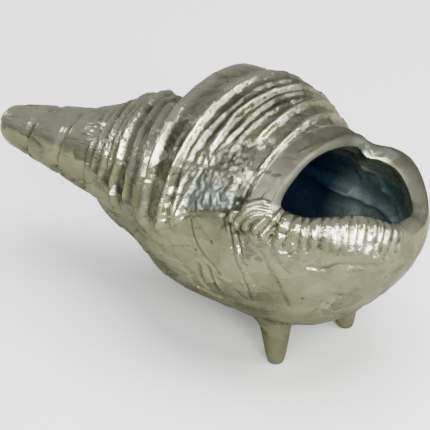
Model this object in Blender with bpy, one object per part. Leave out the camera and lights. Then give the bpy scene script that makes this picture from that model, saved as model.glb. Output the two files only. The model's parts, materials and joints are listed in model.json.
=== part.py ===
"""Cast conch shell ornament: one hollow casting on three peg feet, in metres, +Z up.

The shell's axis lies along X, apex at -X and mouth at +X, the ridged lip on the -Y side.
A straight tube is spun first, one ring for each station of the wall, from the apex over the
outside to the lip and back inside to the end of the cavity. Each ring is then wrapped onto the
shell by the function of its zone, and the feet are joined on.
"""

import math

import bmesh
import bpy
from mathutils import Vector

MM = 0.001

# Body: a fuller-than-elliptical front, an apex behind, both measured from the widest section
BODY_RADIUS = 23.9 * MM
FRONT_LENGTH = 33.0 * MM
FULLNESS = 2.1
APEX_X = -67.0 * MM
WALL = 4.2 * MM
LIP_THICKNESS = 3.2 * MM

# The section's centre drops below the shell's axis: at the spire, behind the body and in front.
# Each span says where a drop comes in, and the front one goes again.
CENTRE_DROP = 0.3 * MM
SPIRE_DROP = 1.1 * MM
SPIRE_DROP_SPAN = (-34.0 * MM, -48.0 * MM)
BACK_DROP = 1.7 * MM
BACK_DROP_SPAN = (-10.0 * MM, -26.0 * MM)
FRONT_DROP = 1.5 * MM
FRONT_DROP_SPAN = (-4.0 * MM, 14.0 * MM)
FRONT_RISE_SPAN = (16.0 * MM, 31.0 * MM)

# Outside radius behind the widest section: (x, radius), apex first
SPIRE_PROFILE = (
    (-67.0 * MM, 0.3 * MM),
    (-66.3 * MM, 2.6 * MM),
    (-64.4 * MM, 4.2 * MM),
    (-60.0 * MM, 5.3 * MM),
    (-54.7 * MM, 6.5 * MM),
    (-45.1 * MM, 8.6 * MM),
    (-36.6 * MM, 10.9 * MM),
    (-33.2 * MM, 13.2 * MM),
    (-29.5 * MM, 14.8 * MM),
    (-24.4 * MM, 16.4 * MM),
    (-20.0 * MM, 18.8 * MM),
    (-15.5 * MM, 21.6 * MM),
    (-10.0 * MM, 23.4 * MM),
    (-4.0 * MM, 23.9 * MM),
    (0.0, 23.9 * MM),
    (4.0 * MM, 23.8 * MM),
)

# Ribs: cords round the last two whorls, a ring on each ridge and in each groove. They lean
# towards the mouth on the far side and fade out below the middle of both sides. The groove
# between the two whorls is deeper than the others.
RIB_PITCH = 3.2 * MM
LAST_RIB_X = 4.0 * MM
BODY_RIBS = 7
PENULTIMATE_RIBS = 6
RIB_HEIGHT = 0.4 * MM
RIB_FADE = (math.radians(84), math.radians(112))
RIB_CENTRE_ANGLE = math.radians(-12)
WHORL_GROOVE = 1.8
RIB_LEAN = 11.0 * MM
LEAN_START = (-18.5 * MM, -11.0 * MM)
LEAN_ANGLE = math.radians(-50)

# Sutures, where each whorl of the smooth spire meets the next: a groove that winds round it,
# given as x at the top of its first turn and its last
SPIRE_SUTURES = (-54.7 * MM, -45.1 * MM)
SUTURE_DEPTH = 0.55 * MM
SUTURE_WIDTH = 1.1 * MM
SUTURE_FADE = (5.0 * MM, 2.0 * MM)
WHORL_LENGTH = 9.6 * MM

# Places where the body falls in, beside the mouth and under the lip's front: x in millimetres and
# angle in degrees, share of the radius lost, reach behind and ahead in millimetres and round in
# degrees
HOLLOWS = ((15.0, -52, 0.27, 9.0, 6.0, 42), (29.0, 168, 0.07, 5.0, 4.0, 55))

# Mouth: the outer edge of the lip, (column angle, point in millimetres), from the crown of the
# hood round the near side, the front and the far side. The points are pushed out onto the skin.
MOUTH_EDGE = (
    (0, (16.3, -1.4, 18.9)),
    (34, (13.2, -11.4, 17.3)),
    (62, (11.2, -18.9, 11.0)),
    (84, (15.7, -18.7, 8.7)),
    (106, (20.2, -16.5, 8.2)),
    (126, (24.9, -13.0, 7.8)),
    (148, (29.0, -9.0, 5.9)),
    (168, (31.6, -4.7, 3.1)),
    (188, (32.4, 1.5, 1.2)),
    (206, (31.6, 6.0, 2.0)),
    (226, (29.5, 9.5, 4.2)),
    (250, (25.5, 12.2, 6.7)),
    (275, (21.4, 12.8, 8.3)),
    (305, (18.6, 11.0, 12.9)),
    (335, (17.0, 6.3, 15.4)),
)
MOUTH_CENTRE = Vector((19.0, -3.0, 8.5)) * MM
# Width of the lip as a share of its thickness, by column angle in degrees
LIP_WIDTHS = (
    (0, 0.70),
    (30, 0.50),
    (62, 0.67),
    (84, 0.84),
    (106, 0.95),
    (188, 1.0),
    (206, 1.15),
    (226, 1.35),
    (250, 1.6),
    (275, 1.85),
    (290, 1.65),
    (305, 1.35),
    (320, 1.1),
    (335, 0.95),
)
LIP_ROUNDNESS = 0.55
# Where the lip starts to turn in, as a share of the way to it, and the angles averaged over
LIP_RUN_UP = 0.92
LIP_SMOOTHING = [math.radians(offset) for offset in (-24, -12, 0, 12, 24)]
RIB_RUN_OUT = 0.2
THROAT_RUN_IN = 0.45

# Rolled bead along the near lip
BEAD_HEIGHT = 1.25 * MM
BEAD_SHARE = 0.2
BEAD_TURN = 0.8 * math.pi
BEAD_START = (math.radians(60), math.radians(96))
BEAD_END = (math.radians(222), math.radians(198))

CAVITY_END_X = -24.0 * MM

# Feet: tapered pegs, (x, y, height that ends inside the wall), standing below the shell's axis
FEET = {
    "near_foot": (8.0 * MM, -11.0 * MM, 13.2 * MM),
    "far_foot": (14.8 * MM, 6.5 * MM, 12.0 * MM),
    "rear_foot": (-23.0 * MM, 3.5 * MM, 17.5 * MM),
}
SOLE_Z = -32.2 * MM
SOLE_RADIUS = 1.5 * MM
ANKLE_RADIUS = 2.0 * MM
ROOT_RADIUS = 3.2 * MM
ANKLE_HEIGHT = 1.2 * MM
ROOT_HEIGHT = 9.0 * MM
FOOT_SIDES = 20

# Rings round the shell and columns along it
COLUMNS = 44
SPIRE_RINGS = 26
APEX_CROWDING = 1.6
BROW_RINGS = 12
LIP_RINGS = 5
THROAT_RINGS = 8
CAVITY_RINGS = 8
MERGE_WITHIN = 0.000001

# The point of the plane under the soles that becomes the origin, near the middle of the length,
# measured from the widest section
ORIGIN = Vector((-17.4 * MM, 0.1 * MM, SOLE_Z))

METAL_COLOUR = (0.42, 0.40, 0.33, 1.0)
METAL_METALLIC = 0.9
METAL_ROUGHNESS = 0.35


def smooth_step(start, end, value):
    """0 before start, 1 past end, with an even ramp between; start may be the larger."""
    share = min(max((value - start) / (end - start), 0.0), 1.0)
    return share * share * (3 - 2 * share)


def bell(value, width):
    return math.exp(-((value / width) ** 2))


def turned(angle):
    """The angle brought between minus and plus half a turn."""
    return (angle + math.pi) % math.tau - math.pi


def through(knots, at):
    """Smooth curve through (position, value) knots, by Catmull-Rom slopes."""
    index = 1
    while index < len(knots) - 2 and at > knots[index + 1][0]:
        index += 1
    if at < knots[1][0]:
        index = 0
    (x0, y0), (x1, y1) = knots[index], knots[index + 1]
    before = knots[max(index - 1, 0)]
    after = knots[min(index + 2, len(knots) - 1)]
    slope0 = (y1 - before[1]) * (1 / (x1 - before[0]))
    slope1 = (after[1] - y0) * (1 / (after[0] - x0))
    width = x1 - x0
    share = min(max((at - x0) / width, 0.0), 1.0)
    rest = 1 - share
    return (
        y0 * rest * rest * (1 + 2 * share)
        + y1 * share * share * (3 - 2 * share)
        + width * share * rest * (slope0 * rest - slope1 * share)
    )


def axis_height(x):
    """Height of the section's centre over the shell's axis."""
    front = smooth_step(*FRONT_DROP_SPAN, x) - smooth_step(*FRONT_RISE_SPAN, x)
    spire = smooth_step(*SPIRE_DROP_SPAN, x)
    back = smooth_step(*BACK_DROP_SPAN, x)
    return -(CENTRE_DROP + FRONT_DROP * front + SPIRE_DROP * spire + BACK_DROP * back)


def fallen_in(x, angle):
    """Share of the radius left where the body falls in."""
    share = 1.0
    for at, centre, depth, behind, ahead, spread in HOLLOWS:
        reach = behind if x < at * MM else ahead
        across = bell(turned(angle - math.radians(centre)), math.radians(spread))
        share -= depth * bell(x - at * MM, reach * MM) * across
    return share


def rib_lean(station, angle):
    """How far a ring reaches forward of its station, so that the ribs run towards the mouth."""
    share = (1 + math.cos(angle - LEAN_ANGLE)) / 2
    return RIB_LEAN * smooth_step(*LEAN_START, station) * share**2


def suture_relief(x, angle):
    """Depth of the groove that winds round the smooth spire between whorls."""
    wound = x + WHORL_LENGTH * turned(angle) / math.tau
    first, last = SPIRE_SUTURES
    far, near = SUTURE_FADE
    fade = smooth_step(first - far, first - near, x) * smooth_step(last + far, last + near, x)
    off = (wound - first + WHORL_LENGTH / 2) % WHORL_LENGTH - WHORL_LENGTH / 2
    return -SUTURE_DEPTH * fade * bell(off, SUTURE_WIDTH)


def rib_relief(station, angle):
    """Height of the ribs on a ring, given the ring's own station on the axis."""
    step = (LAST_RIB_X - station) / RIB_PITCH
    if not 0 <= step <= BODY_RIBS + PENULTIMATE_RIBS - 0.5:
        return 0.0
    fade = 1 - smooth_step(*RIB_FADE, abs(turned(angle - RIB_CENTRE_ANGLE)))
    depth = WHORL_GROOVE if round(2 * step) == 2 * BODY_RIBS - 1 else 1.0
    return RIB_HEIGHT * math.cos(math.tau * step) * depth * fade


def on_section(x, radius, angle):
    """Point at this radius and angle on the section at x, angle 0 up and rising to -Y."""
    return Vector(
        (x, -radius * math.sin(angle), radius * math.cos(angle) + axis_height(x))
    )


def front_radius(x, inset):
    share = min(max(x / (FRONT_LENGTH - inset), 0.0), 1.0)
    return (BODY_RADIUS - inset) * (1 - share**FULLNESS) ** (1 / FULLNESS)


def outside_point(station, angle):
    """Point of the spire or body, on the ring with this station."""
    x = station + rib_lean(station, angle)
    radius = through(SPIRE_PROFILE, x) if x < 0 else front_radius(x, 0.0)
    radius = radius * fallen_in(x, angle) + suture_relief(x, angle) + rib_relief(station, angle)
    return on_section(x, max(radius, 0.0), angle)


def direction_of(point):
    """Direction of a point of the front half, once the half is squeezed to a unit ball."""
    x, y, z = point.x, point.y, point.z - axis_height(point.x)
    across = BODY_RADIUS * fallen_in(x, math.atan2(-y, z))
    return Vector((x / FRONT_LENGTH, y / across, z / across)).normalized()


def front_point(direction, inset):
    """The front skin, or the cavity wall at this inset, in a direction of the unit ball."""
    ahead = max(direction.x, 0.0)
    across = math.hypot(direction.y, direction.z)
    reach = (ahead**FULLNESS + across**FULLNESS) ** (-1 / FULLNESS)
    x = (FRONT_LENGTH - inset) * reach * ahead
    angle = math.atan2(-direction.y, direction.z)
    radius = (BODY_RADIUS - inset) * reach * across * fallen_in(x, angle)
    return on_section(x, radius, angle)


def round_the_mouth(knots, angle):
    """Closed smooth curve through (degrees, value) knots at a column angle."""
    laps = [(at + 360 * lap, value) for lap in (-1, 0, 1) for at, value in knots]
    return through(laps, math.degrees(angle) % 360)


def mouth_edge(angle):
    """Outer edge of the lip at a column angle."""
    sides = [[(at, point[side]) for at, point in MOUTH_EDGE] for side in range(3)]
    return Vector([round_the_mouth(knots, angle) for knots in sides]) * MM


def fan_start(angle):
    """Direction of the last rib at a column angle."""
    x = LAST_RIB_X + rib_lean(LAST_RIB_X, angle)
    return direction_of(on_section(x, front_radius(x, 0.0) * fallen_in(x, angle), angle))


def bead(angle, share):
    """Height of the rolled bead, by column angle and share of the way to the lip."""
    along = smooth_step(*BEAD_START, angle % math.tau) * smooth_step(*BEAD_END, angle % math.tau)
    crossed = min(max((share - 1 + BEAD_SHARE) / BEAD_SHARE, 0.0), 1.0)
    return BEAD_HEIGHT * along * math.sin(BEAD_TURN * crossed)


def brow_point(share, angle):
    """From the last rib, share 0, to the outer edge of the lip, share 1."""
    direction = fan_start(angle).slerp(direction_of(mouth_edge(angle)), share)
    point = front_point(direction, 0.0)
    rib = rib_relief(LAST_RIB_X, angle) * (1 - smooth_step(0.0, RIB_RUN_OUT, share))
    outward = Vector((0.0, point.y, point.z - axis_height(point.x))).normalized()
    return point + outward * (bead(angle, share) + rib)


def run_up(angle):
    """Direction in which the outside reaches the lip's edge."""
    return (brow_point(1.0, angle) - brow_point(LIP_RUN_UP, angle)).normalized()


def lip_point(share, angle):
    """Round the lip, from its outer edge to its inner edge."""
    edge = brow_point(1.0, angle)
    inward = (MOUTH_CENTRE - edge).normalized()
    runs = [run_up(angle + offset) for offset in LIP_SMOOTHING]
    outward = sum(runs, Vector()).normalized()
    turn = math.pi * share
    half = LIP_THICKNESS * round_the_mouth(LIP_WIDTHS, angle) / 2
    across = half * (1 - math.cos(turn))
    return edge + inward * across + outward * half * LIP_ROUNDNESS * math.sin(turn)


def throat_point(share, angle):
    """From the inner edge of the lip, share 0, back to the section of the last rib."""
    inner_edge = lip_point(1.0, angle)
    direction = direction_of(inner_edge).slerp(fan_start(angle), share)
    wall = front_point(direction, WALL)
    offset = inner_edge - front_point(direction_of(inner_edge), WALL)
    return wall + offset * (1 - smooth_step(0.0, THROAT_RUN_IN, share))


def cavity_point(share, angle):
    """From the last rib's section back to the closed end of the cavity."""
    start = throat_point(1.0, angle)
    turn = share * math.pi / 2
    x = start.x + (CAVITY_END_X - start.x) * math.sin(turn)
    across = Vector((0.0, start.y, start.z - axis_height(start.x)))
    point = across * math.cos(turn)
    return Vector((x, point.y, point.z + axis_height(x)))


ZONES = (outside_point, brow_point, lip_point, throat_point, cavity_point)


def wall_stations():
    """(zone, value) of every ring, from the apex to the end of the cavity."""
    stations = []
    half_steps = 2 * (BODY_RIBS + PENULTIMATE_RIBS) - 1
    ribs_start = LAST_RIB_X - half_steps * RIB_PITCH / 2
    for ring in range(SPIRE_RINGS):
        share = (ring / SPIRE_RINGS) ** APEX_CROWDING
        stations.append((0, APEX_X + (ribs_start - APEX_X) * share))
    for half in range(half_steps, -1, -1):
        stations.append((0, LAST_RIB_X - half * RIB_PITCH / 2))
    for zone, rings in ((1, BROW_RINGS), (2, LIP_RINGS), (3, THROAT_RINGS), (4, CAVITY_RINGS)):
        stations += [(zone, (ring + 1) / rings) for ring in range(rings)]
    return stations


def spin_tube(ring_count):
    """Closed straight tube along X with a ring at every whole number, its ends on the axis."""
    bm = bmesh.new()
    profile = [bm.verts.new((0.0, 0.0, 0.0))]
    profile += [bm.verts.new((float(ring), 0.0, 1.0)) for ring in range(1, ring_count - 1)]
    profile.append(bm.verts.new((float(ring_count - 1), 0.0, 0.0)))
    edges = [bm.edges.new(pair) for pair in zip(profile, profile[1:])]
    bmesh.ops.spin(
        bm,
        geom=profile + edges,
        axis=(1.0, 0.0, 0.0),
        cent=(0.0, 0.0, 0.0),
        angle=math.tau,
        steps=COLUMNS,
        use_merge=True,
    )
    bmesh.ops.remove_doubles(bm, verts=bm.verts, dist=MERGE_WITHIN)
    return bm


def wrap_tube(bm, stations):
    """Moves each vertex of the tube to its place on the wall of the shell."""
    for vert in bm.verts:
        zone, value = stations[round(vert.co.x)]
        vert.co = ZONES[zone](value, math.atan2(-vert.co.y, vert.co.z))


def shell_body():
    stations = wall_stations()
    bm = spin_tube(len(stations))
    wrap_tube(bm, stations)
    bmesh.ops.recalc_face_normals(bm, faces=bm.faces)
    bmesh.ops.triangulate(bm, faces=bm.faces)
    return bm


def add_object(name, bm, collection):
    mesh = bpy.data.meshes.new(name)
    bm.to_mesh(mesh)
    bm.free()
    obj = bpy.data.objects.new(name, mesh)
    collection.objects.link(obj)
    return obj


def peg_foot(name, top, collection):
    """A peg with a flat sole that widens upwards into the underside of the shell."""
    levels = (
        (0.0, SOLE_RADIUS),
        (ANKLE_HEIGHT, ANKLE_RADIUS),
        (ROOT_HEIGHT, ROOT_RADIUS),
        (top, ROOT_RADIUS),
    )
    bm = bmesh.new()
    profile = [bm.verts.new((radius, 0.0, height)) for height, radius in levels]
    edges = [bm.edges.new(pair) for pair in zip(profile, profile[1:])]
    bmesh.ops.spin(
        bm,
        geom=profile + edges,
        axis=(0.0, 0.0, 1.0),
        cent=(0.0, 0.0, 0.0),
        angle=math.tau,
        steps=FOOT_SIDES,
        use_merge=True,
    )
    bmesh.ops.remove_doubles(bm, verts=bm.verts, dist=MERGE_WITHIN)
    bmesh.ops.holes_fill(bm, edges=bm.edges, sides=FOOT_SIDES)
    bmesh.ops.recalc_face_normals(bm, faces=bm.faces)
    return add_object(name, bm, collection)


def join_foot(shell, foot):
    union = shell.modifiers.new(foot.name, "BOOLEAN")
    union.operation = "UNION"
    union.solver = "EXACT"
    union.object = foot


def cast_metal():
    material = bpy.data.materials.new("cast_metal")
    material.use_nodes = True
    shader = material.node_tree.nodes["Principled BSDF"]
    shader.inputs["Base Color"].default_value = METAL_COLOUR
    shader.inputs["Metallic"].default_value = METAL_METALLIC
    shader.inputs["Roughness"].default_value = METAL_ROUGHNESS
    return material


def clear_scene():
    for obj in list(bpy.data.objects):
        bpy.data.objects.remove(obj, do_unlink=True)


def new_collection(name, helper=False):
    collection = bpy.data.collections.new(name)
    bpy.context.scene.collection.children.link(collection)
    collection.hide_render = helper
    return collection


def main():
    clear_scene()
    made = new_collection("conch shell")
    helpers = new_collection("joined feet", helper=True)
    shell = add_object("conch_shell", shell_body(), made)
    shell.data.materials.append(cast_metal())
    shell.data.shade_smooth()
    shell.location = -ORIGIN
    for name, (x, y, top) in FEET.items():
        foot = peg_foot(name, top, helpers)
        foot.location = Vector((x, y, SOLE_Z)) - ORIGIN
        foot.hide_render = True
        foot.display_type = "WIRE"
        join_foot(shell, foot)


main()
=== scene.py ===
"""Cast conch shell ornament: the finished casting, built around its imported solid.

One operator makes the casting and one the stage. The casting is a spun tube, one ring for each
station of the wall, wrapped onto the shell. Each point is then moved along the skin's normal by the
relief there: cords, sutures, lip bars, chisel marks and engraved lines.
"""

import json
import math

import bmesh
import bpy
import numpy as np
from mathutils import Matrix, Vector, noise
from mathutils.bvhtree import BVHTree


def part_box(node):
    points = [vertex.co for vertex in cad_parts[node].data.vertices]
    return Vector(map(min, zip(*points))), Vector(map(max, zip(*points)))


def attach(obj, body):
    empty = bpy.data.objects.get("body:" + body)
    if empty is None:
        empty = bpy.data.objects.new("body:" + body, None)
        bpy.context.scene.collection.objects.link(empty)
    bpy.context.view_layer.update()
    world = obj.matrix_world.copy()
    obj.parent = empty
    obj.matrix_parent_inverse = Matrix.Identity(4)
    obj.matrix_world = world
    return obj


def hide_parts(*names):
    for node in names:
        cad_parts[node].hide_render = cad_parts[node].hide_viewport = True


bl_info = {
    "name": "Cast conch shell",
    "version": (1, 0, 0),
    "blender": (4, 5, 0),
    "location": "3D View > Sidebar > Conch",
    "description": "Builds a cast-metal conch shell on peg feet and its studio stage",
    "category": "Object",
}

MM = 0.001
NODE = "conch_shell"

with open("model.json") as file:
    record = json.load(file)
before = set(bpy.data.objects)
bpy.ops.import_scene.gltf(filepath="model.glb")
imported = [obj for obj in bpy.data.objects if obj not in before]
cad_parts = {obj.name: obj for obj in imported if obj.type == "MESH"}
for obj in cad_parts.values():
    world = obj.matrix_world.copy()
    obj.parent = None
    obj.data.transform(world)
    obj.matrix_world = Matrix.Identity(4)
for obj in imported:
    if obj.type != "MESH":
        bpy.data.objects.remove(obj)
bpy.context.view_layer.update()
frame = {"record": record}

# Body of the shell, measured from its widest section, apex at -X
BODY_RADIUS = 23.9 * MM
FRONT_LENGTH = 33.0 * MM
FULLNESS = 2.1
APEX_X = -67.0 * MM
SOLE_Z = -32.2 * MM
CENTRE_Y = -0.1 * MM
WALL = 4.2 * MM

# The section's centre drops below the axis at the spire, behind the body and in front
CENTRE_DROP = 0.3 * MM
SPIRE_DROP = 1.1 * MM
SPIRE_DROP_SPAN = (-34.0 * MM, -48.0 * MM)
BACK_DROP = 1.7 * MM
BACK_DROP_SPAN = (-10.0 * MM, -26.0 * MM)
FRONT_DROP = 1.5 * MM
FRONT_DROP_SPAN = (-4.0 * MM, 14.0 * MM)
FRONT_RISE_SPAN = (16.0 * MM, 31.0 * MM)

# Outside radius behind the widest section, in millimetres: (x, radius), apex first
SPIRE_PROFILE = (
    (-67.0, 0.3),
    (-66.3, 2.6),
    (-64.4, 4.2),
    (-60.0, 5.3),
    (-54.7, 6.5),
    (-45.1, 8.6),
    (-36.6, 10.9),
    (-33.2, 13.2),
    (-29.5, 14.8),
    (-24.4, 16.4),
    (-20.0, 18.8),
    (-15.5, 21.6),
    (-10.0, 23.4),
    (-4.0, 23.9),
    (0.0, 23.9),
    (4.0, 23.8),
)

# Places where the body falls in, beside the mouth and under the lip's front: x in millimetres and
# angle in degrees, share of the radius lost, reach behind and ahead in millimetres and round in degrees
HOLLOWS = ((15.0, -52, 0.27, 9.0, 6.0, 42), (29.0, 168, 0.07, 5.0, 4.0, 55))

# Rings lean towards the mouth on the far side, so that the cords do
RING_LEAN = 11.0 * MM
LEAN_START = (-18.5 * MM, -11.0 * MM)
LEAN_ANGLE = math.radians(-50)
LAST_STATION = 4.0 * MM

# Outer edge of the lip, (column angle, point in millimetres), from the crown of the hood round
# the near side, the front and the far side
MOUTH_EDGE = (
    (0, (16.3, -1.4, 18.9)),
    (34, (13.2, -11.4, 17.3)),
    (62, (11.2, -18.9, 11.0)),
    (84, (15.7, -18.7, 8.7)),
    (106, (20.2, -16.5, 8.2)),
    (126, (24.9, -13.0, 7.8)),
    (148, (29.0, -9.0, 5.9)),
    (168, (31.6, -4.7, 3.1)),
    (188, (32.4, 1.5, 1.2)),
    (206, (31.6, 6.0, 2.0)),
    (226, (29.5, 9.5, 4.2)),
    (250, (25.5, 12.2, 6.7)),
    (275, (21.4, 12.8, 8.3)),
    (305, (18.6, 11.0, 12.9)),
    (335, (17.0, 6.3, 15.4)),
)
MOUTH_CENTRE = np.array((19.0, -3.0, 8.5)) * MM
# Width of the lip as a share of its thickness, by column angle in degrees
LIP_WIDTHS = (
    (0, 0.70),
    (30, 0.50),
    (62, 0.67),
    (84, 0.84),
    (106, 0.95),
    (188, 1.0),
    (206, 1.15),
    (226, 1.35),
    (250, 1.6),
    (275, 1.85),
    (290, 1.65),
    (305, 1.35),
    (320, 1.1),
    (335, 0.95),
)
LIP_ROUNDNESS = 0.55
LIP_SQUARENESS = 0.7
# Where the lip starts to turn in, as a share of the way to it, and the angles averaged over
LIP_RUN_UP = 0.92
LIP_SMOOTHING = [math.radians(offset) for offset in (-24, -12, 0, 12, 24)]
THROAT_RUN_IN = 0.45
CAVITY_END_X = -24.0 * MM

# Rolled bead along the near lip
BEAD_SHARE = 0.2
BEAD_TURN = 0.8 * math.pi
BEAD_START = (math.radians(60), math.radians(96))
BEAD_END = (math.radians(222), math.radians(198))

# Rings before and after the lip's edge that are eased, how often and by how much
EASED_RINGS = (10, 13)
EASING_PASSES = 30
EASING = 0.5

# Below, a pair named for a place where something comes in or goes is the start and the end of an
# even ramp, in metres or radians unless its comment says otherwise

# Cords round the whorls: height, half width behind and ahead in millimetres, how smooth, and the
# crest as (angle in degrees, station in millimetres) from the far side over the top to the near side
CORDS = (
    (0.45, 0.7, 0.6, 0.8, ((-170, -36.6), (60, -37.0), (78, -37.0))),
    (0.55, 0.8, 0.6, 1.0, ((-170, -33.8), (50, -34.0), (62, -34.2), (77, -35.0))),
    (0.55, 0.8, 0.6, 1.0, ((-170, -31.0), (50, -31.2), (66, -31.3), (80, -31.7))),
    (0.30, 0.5, 0.5, 0.6, ((-170, -29.4), (62, -29.6))),
    (0.75, 0.9, 0.55, 1.0, ((-170, -27.3), (15, -27.4), (42, -27.4), (60, -27.0), (76, -27.6), (92, -27.0))),
    (0.65, 0.9, 0.7, 0.9, ((4, -23.7), (10, -23.6), (40, -23.4), (60, -23.0), (82, -23.6))),
    (0.40, 0.5, 0.5, 0.1, ((14, -21.6), (38, -21.4), (62, -20.9), (84, -20.6))),
    (0.60, 0.8, 0.8, 1.0, ((16, -20.0), (40, -19.6), (55, -19.3), (82, -19.3))),
    (0.95, 1.0, 0.5, 1.0, ((-170, -15.0), (-5, -15.0), (12, -15.4), (28, -15.95), (60, -15.7), (86, -15.3))),
    (0.35, 0.6, 0.5, 0.0, ((-60, -13.3), (0, -13.2), (44, -13.2))),
    (0.95, 0.95, 0.55, 1.0, ((-170, -12.0), (0, -12.0), (15, -11.8), (40, -11.2), (50, -10.9), (84, -10.7))),
    (0.55, 0.6, 0.5, 0.2, ((-60, -9.2), (0, -9.0), (20, -8.6), (32, -8.9), (48, -9.1))),
    (0.95, 1.0, 0.5, 1.0, ((-170, -5.6), (-5, -5.8), (20, -6.4), (30, -6.0), (50, -6.0), (76, -6.8))),
    (0.55, 0.6, 0.5, 0.8, ((60, -8.4), (68, -8.2), (78, -7.9))),
    (0.50, 0.5, 0.5, 0.3, ((-60, -4.4), (5, -4.4), (18, -4.2), (28, -3.9), (46, -4.8))),
    (0.40, 0.5, 0.5, 0.0, ((-60, -2.6), (10, -2.4), (52, -2.6))),
    (0.70, 0.6, 0.55, 1.0, ((-120, -2.6), (-22, -2.2), (-8, -1.2), (5, -0.4), (14, 0.2), (24, 0.4))),
    (0.70, 0.6, 0.6, 0.9, ((-110, 1.2), (-22, 1.3), (-8, 2.3), (3, 3.0), (10, 3.6), (18, 4.3), (40, 4.7))),
)
# Degrees past its end in which a cord fades, and how far the ribbed skin lies below the plain skin
CORD_FADE = 8.0
CORD_SINK = 0.45 * MM
# Share of their height that the cords lose on the far side, and the degrees in which they do
FAR_CORD_LOSS = 0.45
FAR_CORD_SPAN = (0, -45)
# How far past its crest a smooth cord keeps the hammered marks away
SMOOTH_REACH = 1.3
# Grooves between whorls: depth, half width, and the line of each as (angle, station)
WHORL_GROOVES = (
    (0.9, 0.8, ((-170, -26.5), (-37, -26), (-15, -22.5), (0, -20), (14, -18.8), (31, -18.1), (84, -17.8))),
    (0.6, 0.9, ((-170, -35.2), (-37, -35.0), (20, -35.8), (40, -37.6), (60, -39.0), (130, -40.0))),
)
# Degrees in which a groove opens over the top, and how much wider and deeper it gets
GROOVE_OPENING = (20, -30)
GROOVE_WIDER = 0.8
GROOVE_DEEPER = 0.2

# Where the ribbed skin starts and ends, on its far side and over the ledge on its near side
RIBBED_START = (-39.0 * MM, -36.0 * MM)
RIBBED_END = (5.6 * MM, 4.4 * MM)
RIBBED_FAR = (math.radians(-136), math.radians(-112))
RIBBED_NEAR = (-0.6 * MM, 0.8 * MM)

# The groove that winds round the smooth spire: x at the top of its first turn and its last
SPIRE_SUTURES = (-54.7 * MM, -45.1 * MM)
SUTURE_DEPTH = 0.75 * MM
SUTURE_WIDTH = 0.8 * MM
SUTURE_FADE = (5.0 * MM, 2.0 * MM)
WHORL_LENGTH = 9.6 * MM

# Ledge below the chiselled patch: (x in millimetres, angle in degrees)
LEDGE = (
    (-44.0, 66.0),
    (-36.0, 76.0),
    (-28.0, 83.0),
    (-20.0, 86.0),
    (-15.0, 84.0),
    (-8.3, 78.0),
    (-5.3, 74.8),
    (-2.3, 71.2),
    (1.7, 67.6),
    (5.0, 64.5),
)
LEDGE_HEIGHT = 0.4 * MM
# Where it starts and ends along x, where it rises and falls again over its line, and its groove
LEDGE_START = (-21.0 * MM, -16.0 * MM)
LEDGE_END = (6.5 * MM, 3.0 * MM)
LEDGE_RISE = (-0.1 * MM, 0.35 * MM)
LEDGE_FALL = (7.0 * MM, 1.0 * MM)
LEDGE_GROOVE_DEPTH = 0.25 * MM
LEDGE_GROOVE_WIDTH = 0.35 * MM

# Bars across the bead, by length along the mouth edge from the first one's column angle
BAR_PITCH = 1.85 * MM
BAR_HEIGHT = 0.75 * MM
BAR_COLUMNS = (math.radians(72), math.radians(163))
BAR_LENGTH = (5.8 * MM, 4.6 * MM)
# Column angles of the stretch of edge that they are laid along, and its number of points
BAR_EDGE = (math.radians(40), math.radians(215), 500)
# How far the spacing wanders and how fast, the crest's sharpness and the share of it that is cut,
# the usual height, and how far the height wanders, how fast and from where
BAR_WANDER = (0.12, 2.3)
BAR_CREST = (0.8, 0.55)
BAR_SIZES = (0.9, 0.25, 1.7, 1.0)
# Painted shade in a gap between bars: how dark, how fast it comes with depth, and the depth at which it
# starts
GAP_SHADE = 0.9
GAP_STEEPNESS = 2.4
GAP_START = 0.2
# Where the bars fade out over the lip, as a share of the way round it
BAR_LIP_FADE = (1.05, 0.2)

# Raised bars that fan out past the corner of the mouth: points as (angle, x in millimetres)
FAN_BARS = (
    ((56, 11.6), (56, 9.4), (59, 7.5), (62, 5.7), (66, 4.5), (69, 4.1)),
    ((58, 11.6), (59, 9.7), (60, 8.4), (64, 6.7), (68, 5.8), (72, 5.5)),
    ((60, 11.9), (61, 10.1), (63, 8.7), (67, 7.5), (70, 7.4)),
    ((60, 12.2), (62, 11.1), (66, 9.9), (69, 9.2)),
    ((61, 12.7), (64, 11.9), (68, 11.1), (71, 10.8)),
)
FAN_HEIGHT = 0.62 * MM
FAN_WIDTH = 0.85 * MM
# Middle of the fan, how far from it the fan reaches, how far down it is sunk, and the steepness of the
# painted shade between its bars
FAN_MIDDLE = ((58, 10.5), (62, 8.0), (66, 6.0))
FAN_REACH = (4.2 * MM, 2.6 * MM)
FAN_SINK = 0.3
FAN_STEEPNESS = 2.6

# Engraved lines: depth and half width in millimetres, then points as (angle, x)
ENGRAVED = (
    (0.32, 0.26, ((69, 4.1), (75, 5.0), (82, 5.7), (88, 6.5), (94, 7.7), (110, 8.9))),
    (0.32, 0.26, ((72, 5.7), (76, 6.5), (81, 7.2), (85, 7.5), (88, 8.6))),
    (0.30, 0.29, ((76, -3.7), (83, -2.8), (91, -0.7), (96, 1.7), (99, 2.9))),
    (0.42, 0.45, ((99, -2.0), (108, -2.0), (115, -1.2))),
    (0.42, 0.45, ((98, 0.2), (106, 0.7), (112, 1.7))),
    (0.16, 0.30, ((86, 13.4), (98, 15.0), (111, 15.8))),
    (0.2, 0.30, ((70, 12.7), (77, 13.6), (84, 15.2), (88, 16.8))),
    (0.16, 0.30, ((78, 11.1), (80, 11.6), (85, 12.6), (90, 13.4))),
    (0.32, 0.40, ((83, 19.5), (85, 22.3), (83, 24.9), (87, 27.4), (89, 30.2))),
    (0.26, 0.26, ((90, 25.9), (92, 28.0))),
    (0.28, 0.27, ((111, 21.5), (121, 23.7))),
    (0.28, 0.27, ((120, 19.1), (114, 23.1))),
    (0.26, 0.27, ((103, 22.6), (111, 24.8))),
)
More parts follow.
